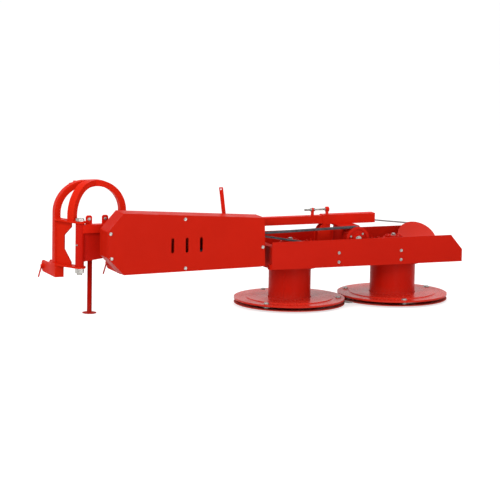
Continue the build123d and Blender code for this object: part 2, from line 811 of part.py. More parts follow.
def arch(reach, low_left, low_right):
    """The area under the hoop's outline, moved out from its centre line by reach."""
    left, right = hoop_x[0] - reach, hoop_x[1] + reach
    top = hoop_top - hoop_half + reach
    bend = hoop_bend + reach
    diagonal = bend * (1 - sin(radians(45)))
    y = hoop_y - hoop_depth / 2
    edges = [
        Line((left, y, low_left), (left, y, top - bend)),
        ThreePointArc(
            (left, y, top - bend), (left + diagonal, y, top - diagonal), (left + bend, y, top)
        ),
        Line((left + bend, y, top), (right - bend, y, top)),
        ThreePointArc(
            (right - bend, y, top), (right - diagonal, y, top - diagonal), (right, y, top - bend)
        ),
        Line((right, y, top - bend), (right, y, low_right)),
        Line((right, y, low_right), (left, y, low_left)),
    ]
    return make_face([edge for line in edges for edge in line.edges()])


clevis_top = lower_plate_z[0]
hoop = extrude(arch(hoop_half, clevis_top, clevis_top), amount=hoop_depth, dir=(0, 1, 0))
hoop -= extrude(arch(-hoop_half, clevis_top, clevis_top), amount=hoop_depth, dir=(0, 1, 0))
leg_y = about(hoop_y, hoop_depth / 2)
hoop -= block(
    about(hoop_x[0], hoop_radial), (leg_y[0] - 1, leg_y[1] + 1), (clevis_top - 1, lower_plate_z[1])
)
ears = []
for low_x in (top_ear_x - top_ear_gap / 2 - top_ear_wall, top_ear_x + top_ear_gap / 2):
    ear_x = (low_x, low_x + top_ear_wall)
    ear = crosswise([
        (leg_y[1], hoop_top - 60),
        (top_pin_y, top_pin_z - 24),
        (top_pin_y, top_pin_z + 24),
        (leg_y[1], hoop_top - 8),
    ], ear_x)
    ear += bar((ear_x[0], top_pin_y, top_pin_z), (ear_x[1], top_pin_y, top_pin_z), 24)
    ear -= bar(
        (ear_x[0] - 1, top_pin_y, top_pin_z), (ear_x[1] + 1, top_pin_y, top_pin_z),
        top_pin_radius + running,
    )
    ears.append(ear)
nodes["hitch_hoop"] = hoop
nodes["top_link_ears"] = ears

# The third leg stands on the upper plate and bends over to meet the hoop's rear face.
apex_x = sum(hoop_x) / 2 + 25
foot_x, foot_y = back_leg_foot
leg_run = hypot(apex_x - foot_x, hoop_y - foot_y)
leg_heading = degrees(atan2(hoop_y - foot_y, apex_x - foot_x))


def leg_area(reach):
    """The area under the third leg, moved out from its centre line by reach."""
    low = upper_plate_z[1]
    top = hoop_top - hoop_half + reach
    bend = back_leg_bend + reach
    diagonal = bend * (1 - sin(radians(45)))
    edges = [
        Line((-reach, 0, low), (-reach, 0, top - bend)),
        ThreePointArc(
            (-reach, 0, top - bend), (diagonal - reach, 0, top - diagonal), (bend - reach, 0, top)
        ),
        Line((bend - reach, 0, top), (leg_run, 0, top)),
        Line((leg_run, 0, top), (leg_run, 0, low)),
        Line((leg_run, 0, low), (-reach, 0, low)),
    ]
    return make_face([edge for line in edges for edge in line.edges()])


leg = extrude(leg_area(hoop_half), amount=hoop_depth, dir=(0, 1, 0))
leg -= extrude(leg_area(-hoop_half), amount=hoop_depth, dir=(0, 1, 0))
leg = Pos(foot_x, foot_y, 0) * Rot(0, 0, leg_heading) * Pos(0, -hoop_depth / 2, 0) * leg
leg -= block(about(apex_x, 400), (leg_y[0], leg_y[1] + 200), (0, hoop_top * 2))
nodes["hitch_back_leg"] = max(leg.solids(), key=lambda piece: piece.volume)


def hitch_plate(z, front):
    """A flat plate from round the pivot to the hoop's left leg."""
    area = Polygon(
        (hitch_plate_left, front),
        (hitch_plate_left, hitch_plate_shoulder),
        (pivot_x - hitch_plate_radius * 0.88, -hitch_plate_radius * 0.48),
        (pivot_x + hitch_plate_radius * 0.96, hitch_plate_radius * 0.28),
        (hitch_plate_right, hitch_plate_shoulder + 20),
        (hitch_plate_right, front),
        align=None,
    )
    plate = extrude(area, amount=z[1] - z[0])
    plate += Pos(pivot_x, 0, (z[1] - z[0]) / 2) * Cylinder(hitch_plate_radius, z[1] - z[0])
    plate -= Pos(pivot_x, 0, 0) * Cylinder(pivot_pin_radius + running, z[1])
    return Pos(0, 0, z[0]) * plate


nodes["hitch_plates"] = [
    hitch_plate(upper_plate_z, leg_y[0]),
    hitch_plate(lower_plate_z, leg_y[1]),
]
web_start = (hoop_x[0], leg_y[0])
web_run = hypot(hitch_web_end[0] - web_start[0], hitch_web_end[1] - web_start[1])
web_heading = degrees(atan2(hitch_web_end[1] - web_start[1], hitch_web_end[0] - web_start[0]))
web_low, web_high = lower_plate_z[1], upper_plate_z[0]
notched = upright([
    (0, web_low),
    (web_run, web_low),
    (web_run, web_low + 18),
    (web_run - hitch_web_notch, web_low + 100),
    (web_run - hitch_web_notch, web_high - 93),
    (web_run, web_high - 34),
    (web_run, web_high),
    (0, web_high),
], about(0, hitch_web_wall / 2))
notched = Pos(*web_start, 0) * Rot(0, 0, web_heading) * notched
nodes["hitch_web"] = notched - block(about(hoop_x[0], 90), leg_y, (0, web_high * 2))

clevises = []
clevis_z = (clevis_top - clevis_height, clevis_top)
link_z = sum(clevis_z) / 2
link_y = clevis_y[1] - clevis_height / 2
for leg_x in hoop_x:
    outer_x = about(leg_x, clevis_width / 2)
    inner_x = about(leg_x, clevis_width / 2 - clevis_wall)
    clevis = block(outer_x, (clevis_y[0], link_y), clevis_z)
    clevis += bar((outer_x[0], link_y, link_z), (outer_x[1], link_y, link_z), clevis_height / 2)
    clevis -= block(inner_x, (clevis_y[0] - 1, clevis_y[1]), about(link_z, clevis_height / 2 - clevis_wall))
    clevis -= block(inner_x, (clevis_y[1] - clevis_slot, clevis_y[1] + 1), about(link_z, clevis_height))
    clevis -= bar(
        (outer_x[0] - 1, link_y, link_z), (outer_x[1] + 1, link_y, link_z), link_pin_radius + running
    )
    clevises.append(clevis)
nodes["link_clevises"] = clevises


def link_pin(x, y, z, radius, overhang):
    """A cross pin with a collar at its left end and a thin handle that hangs from it."""
    pin = bar((x[0] - overhang, y, z), (x[1] + overhang, y, z), radius)
    pin += bar((x[0] - 6, y, z), (x[0] - seat, y, z), radius * 1.5)
    return pin


pins = []
for leg_x in hoop_x:
    pin_x = about(leg_x, clevis_width / 2)
    pin = link_pin(pin_x, link_y, link_z, link_pin_radius, pin_overhang)
    handle_x = pin_x[0] - pin_overhang + 5
    pin += bar((handle_x, link_y, link_z), (handle_x - 8, link_y + 40, link_z - 80), 5)
    pins.append(pin)
ear_reach = top_ear_gap / 2 + top_ear_wall
pins.append(link_pin(about(top_ear_x, ear_reach), top_pin_y, top_pin_z, top_pin_radius, 2 * pin_overhang))
nodes["link_pins"] = pins

pin_profile_top = upper_plate_z[1] + 19
pivot_pin = Pos(pivot_x, 0, 0) * turned([
    (0, lower_plate_z[0] - 45),
    (pivot_pin_radius, lower_plate_z[0] - 45),
    (pivot_pin_radius, pin_profile_top),
    (0, pin_profile_top),
])
pivot_pin += hex_prism((pivot_x, 0, upper_plate_z[1]), pivot_pin_radius * 1.6, 19)
pivot_pin += hex_prism((pivot_x, 0, lower_plate_z[0] - 32), pivot_pin_radius * 1.7, 32)
nodes["pivot_pin"] = pivot_pin

# ---- Move everything over the origin and write one file for each piece --------------------------


def solids_of(piece):
    """The solids of a piece or of a list of pieces."""
    pieces = piece if isinstance(piece, list) else [piece]
    return [solid for one in pieces for solid in one.solids()]


everything = Compound([solid for piece in nodes.values() for solid in solids_of(piece)])
bounds = everything.bounding_box()
shift = Pos(-(bounds.min.X + bounds.max.X) / 2, -(bounds.min.Y + bounds.max.Y) / 2, -bounds.min.Z)
os.makedirs("parts", exist_ok=True)
for name, piece in nodes.items():
    moved = [shift * solid for solid in solids_of(piece)]
    export_step(moved[0] if len(moved) == 1 else Compound(moved), f"parts/{name}.step")
print("pieces", len(nodes), "shift", shift.position, "size", bounds.size)
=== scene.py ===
"""Looks of the two-drum rotary mower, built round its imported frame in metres."""

import json
import math

import bpy
from mathutils import Matrix, Vector


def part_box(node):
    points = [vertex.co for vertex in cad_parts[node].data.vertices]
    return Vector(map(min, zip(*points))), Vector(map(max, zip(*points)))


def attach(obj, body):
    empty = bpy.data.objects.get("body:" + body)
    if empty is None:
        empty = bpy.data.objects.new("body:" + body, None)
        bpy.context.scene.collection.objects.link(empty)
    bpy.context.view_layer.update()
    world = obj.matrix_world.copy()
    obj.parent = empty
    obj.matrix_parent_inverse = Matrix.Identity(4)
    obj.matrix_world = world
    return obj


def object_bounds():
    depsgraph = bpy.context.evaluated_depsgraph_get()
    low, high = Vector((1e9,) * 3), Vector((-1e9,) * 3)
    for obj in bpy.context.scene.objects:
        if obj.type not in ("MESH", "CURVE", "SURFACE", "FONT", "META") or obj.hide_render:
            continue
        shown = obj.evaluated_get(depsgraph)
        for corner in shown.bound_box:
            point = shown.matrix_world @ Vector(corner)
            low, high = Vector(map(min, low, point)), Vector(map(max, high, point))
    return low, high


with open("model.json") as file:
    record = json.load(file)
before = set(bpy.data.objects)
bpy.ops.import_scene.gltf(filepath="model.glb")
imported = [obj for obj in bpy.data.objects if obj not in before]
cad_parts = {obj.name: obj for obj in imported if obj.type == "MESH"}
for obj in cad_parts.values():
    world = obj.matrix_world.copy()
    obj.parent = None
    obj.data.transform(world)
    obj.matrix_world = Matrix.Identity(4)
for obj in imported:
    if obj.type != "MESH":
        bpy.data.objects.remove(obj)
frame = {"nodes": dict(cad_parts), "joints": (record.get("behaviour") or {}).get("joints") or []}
cad_box = [list(corner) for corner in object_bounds()]
nodes = frame["nodes"]


# ---- Side panels, deck, rails and end members ---------------------------------------------------
# Folded and welded sheet steel under sprayed orange-red enamel. The enamel lies in a thin film
# with a fine orange-peel skin, drifts a little in tone, and picks up dust close to the ground.

def link(tree, start, end):
    """Joins two sockets of a tree."""
    tree.links.new(start, end)


def maths(tree, operation, first, second=None, clamp=False):
    """A maths node whose inputs are sockets or numbers."""
    node = tree.nodes.new("ShaderNodeMath")
    node.operation = operation
    node.use_clamp = clamp
    for index, value in enumerate((first, second)):
        if value is None:
            continue
        if isinstance(value, (int, float)):
            node.inputs[index].default_value = value
        else:
            link(tree, value, node.inputs[index])
    return node.outputs[0]


def noise(tree, vector, scale, detail=3.0, roughness=0.5):
    """A noise value over a vector."""
    node = tree.nodes.new("ShaderNodeTexNoise")
    node.inputs["Scale"].default_value = scale
    node.inputs["Detail"].default_value = detail
    node.inputs["Roughness"].default_value = roughness
    link(tree, vector, node.inputs["Vector"])
    return node.outputs["Fac"]


def spread(tree, value, from_low, from_high, to_low, to_high):
    """Moves a value from one range to another, held at the ends."""
    node = tree.nodes.new("ShaderNodeMapRange")
    for name, number in (
        ("From Min", from_low), ("From Max", from_high), ("To Min", to_low), ("To Max", to_high),
    ):
        node.inputs[name].default_value = number
    link(tree, value, node.inputs["Value"])
    return node.outputs["Result"]


def blend_colours(tree, factor, first, second, mode="MIX"):
    """Mixes two colours, each a socket or a tuple, by a factor."""
    node = tree.nodes.new("ShaderNodeMix")
    node.data_type = "RGBA"
    node.blend_type = mode
    colour_inputs = [socket for socket in node.inputs if socket.type == "RGBA"]
    if isinstance(factor, (int, float)):
        node.inputs["Factor"].default_value = factor
    else:
        link(tree, factor, node.inputs["Factor"])
    for socket, value in zip(colour_inputs, (first, second)):
        if isinstance(value, tuple):
            socket.default_value = value
        else:
            link(tree, value, socket)
    return [socket for socket in node.outputs if socket.type == "RGBA"][0]


def new_group(name, inputs, outputs):
    """A shader group with named inputs and outputs, each (name, socket type, default)."""
    tree = bpy.data.node_groups.new(name, "ShaderNodeTree")
    for label, kind, default in inputs:
        socket = tree.interface.new_socket(label, in_out="INPUT", socket_type=kind)
        socket.default_value = default
    for label, kind in outputs:
        tree.interface.new_socket(label, in_out="OUTPUT", socket_type=kind)
    enter = tree.nodes.new("NodeGroupInput")
    leave = tree.nodes.new("NodeGroupOutput")
    return tree, enter.outputs, leave.inputs


def object_place(tree):
    """Object coordinates, in metres, in any tree."""
    return tree.nodes.new("ShaderNodeTexCoord").outputs["Object"]


enamel, enamel_in, enamel_out = new_group(
    "sprayed enamel",
    [
        ("Colour", "NodeSocketColor", (0.5, 0.02, 0.01, 1)),
        ("Tone drift", "NodeSocketFloat", 0.5),
        ("Peel", "NodeSocketFloat", 0.5),
        ("Dust", "NodeSocketFloat", 0.5),
        ("Roughness", "NodeSocketFloat", 0.35),
    ],
    [("Colour", "NodeSocketColor"), ("Roughness", "NodeSocketFloat"), ("Height", "NodeSocketFloat")],
)
place = object_place(enamel)
broad = noise(enamel, place, 2.3, 4.0)
cloudy = noise(enamel, place, 17.0, 5.0, 0.6)
drift = maths(enamel, "MULTIPLY", spread(enamel, broad, 0.3, 0.7, 0, 1), enamel_in["Tone drift"])
deep = blend_colours(enamel, drift, enamel_in["Colour"], (0.42, 0.32, 0.30, 1), "MULTIPLY")
mottled = blend_colours(
    enamel, maths(enamel, "MULTIPLY", spread(enamel, cloudy, 0.45, 0.75, 0, 0.22), enamel_in["Tone drift"]),
    deep, (1.0, 0.62, 0.50, 1), "SOFT_LIGHT",
)
split = enamel.nodes.new("ShaderNodeSeparateXYZ")
link(enamel, place, split.inputs[0])
low_down = spread(enamel, split.outputs["Z"], 0.0, 0.11, 1.0, 0.0)
speckle = spread(enamel, noise(enamel, place, 90.0, 6.0, 0.7), 0.42, 0.72, 0.0, 1.0)
dust = maths(enamel, "MULTIPLY", maths(enamel, "MULTIPLY", low_down, speckle), enamel_in["Dust"])
dusty = blend_colours(enamel, dust, mottled, (0.30, 0.20, 0.15, 1))
link(enamel, dusty, enamel_out["Colour"])
smear = spread(enamel, noise(enamel, place, 9.0, 5.0, 0.65), 0.35, 0.7, -0.05, 0.09)
rough = maths(enamel, "ADD", maths(enamel, "ADD", enamel_in["Roughness"], smear), dust, clamp=True)
link(enamel, rough, enamel_out["Roughness"])
peel = maths(enamel, "MULTIPLY", noise(enamel, place, 420.0, 2.0), enamel_in["Peel"])
ripple = maths(enamel, "MULTIPLY", noise(enamel, place, 11.0, 2.0), 1.4)
link(enamel, maths(enamel, "ADD", peel, ripple), enamel_out["Height"])


def finish(name, group, values, strength, depth):
    """A material whose colour, roughness and relief come from a shader group, with its shader."""
    material = bpy.data.materials.new(name)
    material.use_nodes = True
    tree = material.node_tree
    shader = tree.nodes["Principled BSDF"]
    film = tree.nodes.new("ShaderNodeGroup")
    film.node_tree = group
    for label, value in values.items():
        film.inputs[label].default_value = value
    relief = tree.nodes.new("ShaderNodeBump")
    relief.inputs["Strength"].default_value = strength
    relief.inputs["Distance"].default_value = depth
    link(tree, film.outputs["Height"], relief.inputs["Height"])
    link(tree, film.outputs["Colour"], shader.inputs["Base Color"])
    link(tree, film.outputs["Roughness"], shader.inputs["Roughness"])
    link(tree, relief.outputs["Normal"], shader.inputs["Normal"])
    return material, shader


def paint(name, colour, drift=0.16, peel=0.4, dust=0.35, roughness=0.40, skin=0.0004, shine=0.05):
    """A material of sprayed enamel. The skin is the depth of its orange peel."""
    material, shader = finish(name, enamel, {
        "Colour": (*colour, 1), "Tone drift": drift, "Peel": peel, "Dust": dust, "Roughness": roughness,
    }, 0.35, skin)
    shader.inputs["Specular IOR Level"].default_value = shine
    material.diffuse_color = (*colour, 1)
    return material


def dress(names, material):
    """Gives CAD nodes a material."""
    for name in names:
        slots = nodes[name].data.materials
        slots.clear()
        slots.append(material)


enamel_red = (0.61, 0.0135, 0.0045)
panel_paint = paint("panel enamel", enamel_red)
deck_paint = paint("deck enamel", (0.60, 0.012, 0.004), dust=0.4, roughness=0.6, shine=0.02)
dress(["side_panel_rear", "side_panel_front"], panel_paint)
dress(["deck_plate", "side_rails", "end_tube", "cross_channel", "side_brackets"], deck_paint)


# ---- Drum heads, cross shaft tubes and gearbox --------------------------------------------------
# Iron castings bolted up with turned flanges. Their enamel lies over a coarse sand-cast skin, so
# it is duller and bumpier than on the side panels.

casting_paint = paint(
    "casting enamel", (0.56, 0.011, 0.004), drift=0.25, peel=1.4, roughness=0.55, skin=0.0006, shine=0.03,
)
dress(["drum_heads", "cross_shaft_tubes", "gearbox", "gearbox_bracket"], casting_paint)


# ---- Drums, rotor discs and skid discs ----------------------------------------------------------
# Rolled drum shells welded to flanged rotor discs, over dished skid discs that touch the ground.
# The crop keeps the rotor discs smooth and shiny, while the skid discs are dull and dusty.

drum_paint = paint("drum enamel", (0.59, 0.0125, 0.004), drift=0.2, roughness=0.34)
disc_paint = paint(
    "disc enamel", (0.70, 0.021, 0.009),
    drift=0.15, peel=0.1, dust=0.25, roughness=0.20, skin=0.0002, shine=0.07,
)
skid_paint = paint("skid enamel", (0.76, 0.042, 0.022), drift=0.3, dust=0.5, roughness=0.45, shine=0.25)
dress(["drum_shell_inner", "drum_shell_outer"], drum_paint)
dress(["rotor_disc_inner", "rotor_disc_outer"], disc_paint)
dress(["skid_disc_inner", "skid_disc_outer"], skid_paint)


# ---- Zinc bolts, and steel knives ---------------------------------------------------------------
# Hex bolts and washers are zinc plated: pale, slightly mottled and finely grained. Knives are
# darker spring steel with worn patches. Shafts and rollers are turned bright.

plate, plate_in, plate_out = new_group(
    "worn metal",
    [
        ("Light", "NodeSocketColor", (0.6, 0.6, 0.58, 1)),
        ("Dark", "NodeSocketColor", (0.3, 0.3, 0.3, 1)),
        ("Grain", "NodeSocketFloat", 40.0),
        ("Roughness", "NodeSocketFloat", 0.35),
    ],
    [("Colour", "NodeSocketColor"), ("Roughness", "NodeSocketFloat"), ("Height", "NodeSocketFloat")],
)
place = object_place(plate)
mottle = plate.nodes.new("ShaderNodeTexNoise")
mottle.inputs["Detail"].default_value = 5.0
link(plate, place, mottle.inputs["Vector"])
link(plate, plate_in["Grain"], mottle.inputs["Scale"])
patch = spread(plate, mottle.outputs["Fac"], 0.35, 0.65, 0, 1)
link(plate, blend_colours(plate, patch, plate_in["Light"], plate_in["Dark"]), plate_out["Colour"])
fine = noise(plate, place, 700.0, 2.0)
link(
    plate, maths(plate, "ADD", plate_in["Roughness"], spread(plate, fine, 0.3, 0.7, -0.06, 0.08)),
    plate_out["Roughness"],
)
link(plate, maths(plate, "ADD", fine, patch), plate_out["Height"])


def metal(name, light, dark, grain, roughness, metallic):
    """A material of bare or plated metal."""
    material, shader = finish(name, plate, {
        "Light": (*light, 1), "Dark": (*dark, 1), "Grain": grain, "Roughness": roughness,
    }, 0.4, 0.00015)
    shader.inputs["Metallic"].default_value = metallic
    material.diffuse_color = (*light, 1)
    return material


zinc = metal("zinc plate", (0.50, 0.49, 0.46), (0.30, 0.29, 0.27), 60.0, 0.36, 0.85)
knife_steel = metal("spring steel", (0.42, 0.40, 0.37), (0.20, 0.19, 0.18), 35.0, 0.42, 0.9)
turned_steel = metal("turned steel", (0.45, 0.45, 0.45), (0.30, 0.30, 0.30), 80.0, 0.3, 0.95)
rod_steel = metal("drawn rod", (0.36, 0.37, 0.38), (0.22, 0.22, 0.22), 30.0, 0.4, 0.8)
dress(["knife_bolts_inner", "knife_bolts_outer", "adjusting_screw", "pivot_pin"], zinc)
knife_names = [name for name in nodes if name.startswith(("knife_inner", "knife_outer"))]
dress(knife_names, knife_steel)
dress(["idler_spindles", "idler_upper", "idler_lower", "drum_shaft_inner", "drum_shaft_outer"], turned_steel)


def geometry_tree(name, inputs):
    """A geometry tree that starts with its input geometry and ends in realized instances."""
    tree = bpy.data.node_groups.new(name, "GeometryNodeTree")
    tree.interface.new_socket("Geometry", in_out="INPUT", socket_type="NodeSocketGeometry")
    for label, kind, default in inputs:
        socket = tree.interface.new_socket(label, in_out="INPUT", socket_type=kind)
        if default is not None:
            socket.default_value = default
    tree.interface.new_socket("Geometry", in_out="OUTPUT", socket_type="NodeSocketGeometry")
    enter = tree.nodes.new("NodeGroupInput")
    leave = tree.nodes.new("NodeGroupOutput")
    realize = tree.nodes.new("GeometryNodeRealizeInstances")
    cover = tree.nodes.new("GeometryNodeSetMaterial")
    link(tree, realize.outputs[0], cover.inputs["Geometry"])
    link(tree, enter.outputs["Material"], cover.inputs["Material"])
    link(tree, cover.outputs[0], leave.inputs[0])
    return tree, enter.outputs, realize.inputs[0]


def scaled(tree, value, factor):
    """A value times a number, in any tree."""
    return maths(tree, "MULTIPLY", value, factor)


def lifted(tree, geometry, height):
    """Geometry moved up its own Z by a value."""
    combine = tree.nodes.new("ShaderNodeCombineXYZ")
    link(tree, height, combine.inputs["Z"])
    move = tree.nodes.new("GeometryNodeTransform")
    link(tree, geometry, move.inputs["Geometry"])
    link(tree, combine.outputs[0], move.inputs["Translation"])
    return move.outputs[0]


def cylinder_node(tree, sides, radius, depth):
    """A closed cylinder in a geometry tree."""
    node = tree.nodes.new("GeometryNodeMeshCylinder")
    node.inputs["Vertices"].default_value = sides
    link(tree, radius, node.inputs["Radius"])
    link(tree, depth, node.inputs["Depth"])
    return node.outputs["Mesh"]


bolt_tree, bolt_in, bolt_end = geometry_tree("hex bolts", [
    ("Head radius", "NodeSocketFloat", 0.011),
    ("Head height", "NodeSocketFloat", 0.009),
    ("Material", "NodeSocketMaterial", None),
])
washer_depth = scaled(bolt_tree, bolt_in["Head height"], 0.3)
washer = cylinder_node(bolt_tree, 20, scaled(bolt_tree, bolt_in["Head radius"], 1.22), washer_depth)
washer = lifted(bolt_tree, washer, scaled(bolt_tree, washer_depth, 0.5))
head_depth = scaled(bolt_tree, bolt_in["Head height"], 0.8)
head = cylinder_node(bolt_tree, 6, bolt_in["Head radius"], head_depth)
head = lifted(bolt_tree, head, maths(bolt_tree, "ADD", scaled(bolt_tree, head_depth, 0.5), washer_depth))
dome = bolt_tree.nodes.new("GeometryNodeMeshCone")
dome.inputs["Vertices"].default_value = 18
link(bolt_tree, scaled(bolt_tree, bolt_in["Head radius"], 0.66), dome.inputs["Radius Top"])
link(bolt_tree, scaled(bolt_tree, bolt_in["Head radius"], 0.84), dome.inputs["Radius Bottom"])
link(bolt_tree, scaled(bolt_tree, bolt_in["Head height"], 0.16), dome.inputs["Depth"])
top = maths(bolt_tree, "ADD", head_depth, washer_depth)
dome_mesh = lifted(bolt_tree, dome.outputs["Mesh"], top)
join = bolt_tree.nodes.new("GeometryNodeJoinGeometry")
for piece in (washer, head, dome_mesh):
    link(bolt_tree, piece, join.inputs[0])
facing = bolt_tree.nodes.new("GeometryNodeInputNamedAttribute")
facing.data_type = "FLOAT_VECTOR"
facing.inputs["Name"].default_value = "facing"
align = bolt_tree.nodes.new("FunctionNodeAlignRotationToVector")
align.axis = "Z"
link(bolt_tree, facing.outputs["Attribute"], align.inputs["Vector"])
copies = bolt_tree.nodes.new("GeometryNodeInstanceOnPoints")
link(bolt_tree, bolt_in["Geometry"], copies.inputs["Points"])
link(bolt_tree, join.outputs[0], copies.inputs["Instance"])
link(bolt_tree, align.outputs[0], copies.inputs["Rotation"])
link(bolt_tree, copies.outputs[0], bolt_end)


def grown(name, points, edges, tree, values, attributes=None):
    """Runs a geometry tree over points and edges and returns the result as a plain mesh object."""
    mesh = bpy.data.meshes.new(name)
    mesh.from_pydata([tuple(point) for point in points], edges, [])
    for label, vectors in (attributes or {}).items():
        data = mesh.attributes.new(label, "FLOAT_VECTOR", "POINT").data
        for item, vector in zip(data, vectors):
            item.vector = vector
    seed = bpy.data.objects.new(name, mesh)
    bpy.context.scene.collection.objects.link(seed)
    modifier = seed.modifiers.new("grow", "NODES")
    modifier.node_group = tree
    for item in tree.interface.items_tree:
        if item.in_out == "INPUT" and item.name in values:
            modifier[item.identifier] = values[item.name]
    bpy.context.view_layer.update()
    ready = seed.evaluated_get(bpy.context.evaluated_depsgraph_get())
    result = bpy.data.meshes.new_from_object(ready)
    seed.modifiers.remove(modifier)
    seed.data = result
    bpy.data.meshes.remove(mesh)
    result.name = name
    return seed


def bolts(name, body, places, radius, height, material=None):
    """Hex bolts with washers, from (point, facing) pairs, riding on a body."""
    piece = grown(
        name, [point for point, _ in places], [], bolt_tree,
        {"Head radius": radius, "Head height": height, "Material": material or zinc},
        {"facing": [way for _, way in places]},
    )
    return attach(piece, body)


rearward, forward = Vector((0, -1, 0)), Vector((0, 1, 0))
outward, upward = Vector((1, 0, 0)), Vector((0, 0, 1))
panel_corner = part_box("side_panel_rear")[0]
front_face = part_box("side_panel_front")[1].y
panel_bolt_places = ((0.481, 0.095), (0.481, 0.033), (0.936, 0.093), (0.936, 0.031))
panel_bolts = []
for along, above in panel_bolt_places:
    x, z = panel_corner.x + along, panel_corner.z + above
    panel_bolts.append((Vector((x, panel_corner.y, z)), rearward))
    panel_bolts.append((Vector((x, front_face, z)), forward))
bolts("panel_bolts", "frame", panel_bolts, 0.0085, 0.007)


def mesh_piece(name, points, faces, material, body):
    """A piece from its points and faces, riding on a body."""
    mesh = bpy.data.meshes.new(name)
    mesh.from_pydata([tuple(point) for point in points], [], faces)
    mesh.materials.append(material)
    mesh.update()
    piece = bpy.data.objects.new(name, mesh)
    bpy.context.scene.collection.objects.link(piece)
    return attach(piece, body)


def lathe(name, start, axis, outline, material, body, sides=20):
    """A small turned piece from its (distance along the axis, radius) outline."""
    turn = axis.to_track_quat("Z", "Y").to_matrix().to_4x4()
    points, faces = [], []
    for height, radius in outline:
        for side in range(sides):
            angle = 2 * math.pi * side / sides
            points.append(start + turn @ Vector((radius * math.cos(angle), radius * math.sin(angle), height)))
    for level in range(len(outline) - 1):
        for side in range(sides):
            after = (side + 1) % sides
            first, second = level * sides, (level + 1) * sides
            faces.append((first + side, first + after, second + after, second + side))
    faces.append(tuple(reversed(range(sides))))
    faces.append(tuple(range((len(outline) - 1) * sides, len(outline) * sides)))
    return mesh_piece(name, points, faces, material, body)


knife_places = {"inner": [], "outer": []}
for joint in frame["joints"]:
    if joint["name"].startswith("blade_"):
        knife_places[joint["name"].split("_")[1]].append(Vector(joint["pos_m"]))
cap_outline = [(0, 0.0215), (0.0022, 0.0215), (0.0032, 0.0175), (0.0085, 0.0160), (0.0098, 0.0125)]
bolt_head_height = 0.008
for side, places in knife_places.items():
    rim_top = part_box(f"knife_bolts_{side}")[1].z - bolt_head_height
    for number, place in enumerate(places, 1):
        lathe(
            f"knife_cap_{side}_{number}", Vector((place.x, place.y, rim_top)), upward,
            cap_outline, zinc, f"drum_{side}", 28,
        )


def circle_places(middle, radius, count, first_angle, across, up, facing):
    """Bolt places, each (point, facing), evenly round a circle in the plane of two directions."""
    places = []
    for number in range(count):
        angle = math.radians(first_angle + 360 / count * number)
        spoke = math.cos(angle) * across + math.sin(angle) * up
        places.append((middle + radius * spoke, facing))
    return places


head_low, head_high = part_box("drum_heads")
head_cap_circle = 0.045
head_flange_circle = 0.093
head_flange_thickness = 0.012
drum_middles = {}
for side in ("inner", "outer"):
    disc_low, disc_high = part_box(f"rotor_disc_{side}")
    middle = (disc_low + disc_high) / 2
    drum_middles[side] = middle
    crown = Vector((middle.x, middle.y, head_high.z))
    flange = Vector((middle.x, middle.y, head_low.z + head_flange_thickness))
    cap_bolts = circle_places(crown, head_cap_circle, 6, 30, outward, forward, upward)
    flange_bolts = circle_places(flange, head_flange_circle, 8, 22, outward, forward, upward)
    bolts(f"head_cap_bolts_{side}", "frame", cap_bolts, 0.006, 0.005, casting_paint)
    bolts(f"head_flange_bolts_{side}", "frame", flange_bolts, 0.0095, 0.008)
    bolts(f"head_filler_plug_{side}", "frame", [(crown, upward)], 0.014, 0.012)


# ---- Welds --------------------------------------------------------------------------------------
# Painted fillet welds: overlapping half-round ripples laid along the joint, a little uneven, where
# the drums stand on their discs and where plates meet tubes.

weld_tree, weld_in, weld_end = geometry_tree("weld beads", [
    ("Bead radius", "NodeSocketFloat", 0.004),
    ("Pitch", "NodeSocketFloat", 0.0035),
    ("Material", "NodeSocketMaterial", None),
])
to_curve = weld_tree.nodes.new("GeometryNodeMeshToCurve")
link(weld_tree, weld_in["Geometry"], to_curve.inputs[0])
evenly = weld_tree.nodes.new("GeometryNodeResampleCurve")
evenly.mode = "LENGTH"
link(weld_tree, to_curve.outputs[0], evenly.inputs["Curve"])
link(weld_tree, weld_in["Pitch"], evenly.inputs["Length"])
bead = weld_tree.nodes.new("GeometryNodeMeshIcoSphere")
bead.inputs["Subdivisions"].default_value = 2
link(weld_tree, weld_in["Bead radius"], bead.inputs["Radius"])
uneven = weld_tree.nodes.new("FunctionNodeRandomValue")
uneven.data_type = "FLOAT"
uneven.inputs["Seed"].default_value = 7
size_range = {"Min": 0.86, "Max": 1.12}
for socket in uneven.inputs:
    if socket.enabled and socket.name in size_range:
        socket.default_value = size_range[socket.name]
size = next(socket for socket in uneven.outputs if socket.enabled)
laid = weld_tree.nodes.new("GeometryNodeInstanceOnPoints")
link(weld_tree, evenly.outputs[0], laid.inputs["Points"])
link(weld_tree, bead.outputs["Mesh"], laid.inputs["Instance"])
link(weld_tree, size, laid.inputs["Scale"])
link(weld_tree, laid.outputs[0], weld_end)


def weld(name, body, runs, radius, material):
    """Weld beads along runs of points."""
    points, edges = [], []
    for run in runs:
        first = len(points)
        points += run
        edges += [(first + index, first + index + 1) for index in range(len(run) - 1)]
    values = {"Bead radius": radius, "Pitch": radius * 0.85, "Material": material}
    piece = grown(name, points, edges, weld_tree, values)
    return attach(piece, body)


def ring_run(middle, radius, z, start, end, steps=10):
    """Points round a vertical axis between two angles in degrees."""
    run = []
    for step in range(steps + 1):
        angle = math.radians(start + (end - start) * step / steps)
        run.append(Vector((middle.x + radius * math.cos(angle), middle.y + radius * math.sin(angle), z)))
    return run


